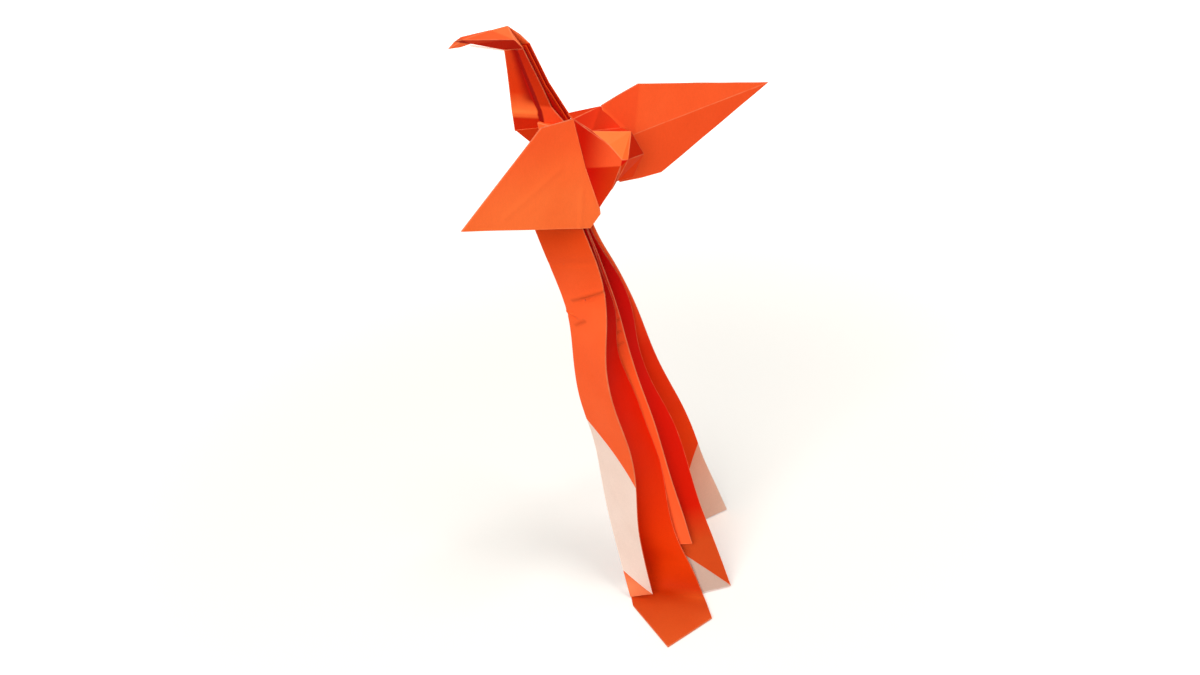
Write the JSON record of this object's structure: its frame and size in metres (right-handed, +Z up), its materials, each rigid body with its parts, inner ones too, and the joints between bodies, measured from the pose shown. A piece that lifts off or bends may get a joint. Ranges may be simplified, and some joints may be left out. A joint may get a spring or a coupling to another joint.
{
  "type": "origami phoenix",
  "caption": "Phoenix folded from one sheet of orange and white paper, standing on its long wavy tail ribbons with wings spread.",
  "frame": {"origin": "on the floor, at the middle of the footprint", "axes": "+Z up from the floor; the beak points towards -X and away along +Y; the near wing reaches towards -X and -Y"},
  "size_m": [0.09, 0.067, 0.1851],
  "materials": {
    "orange_paper": "matte"
  },
  "bodies": {
    "root": {"folded_phoenix": "orange_paper"}
  },
  "joints": []
}
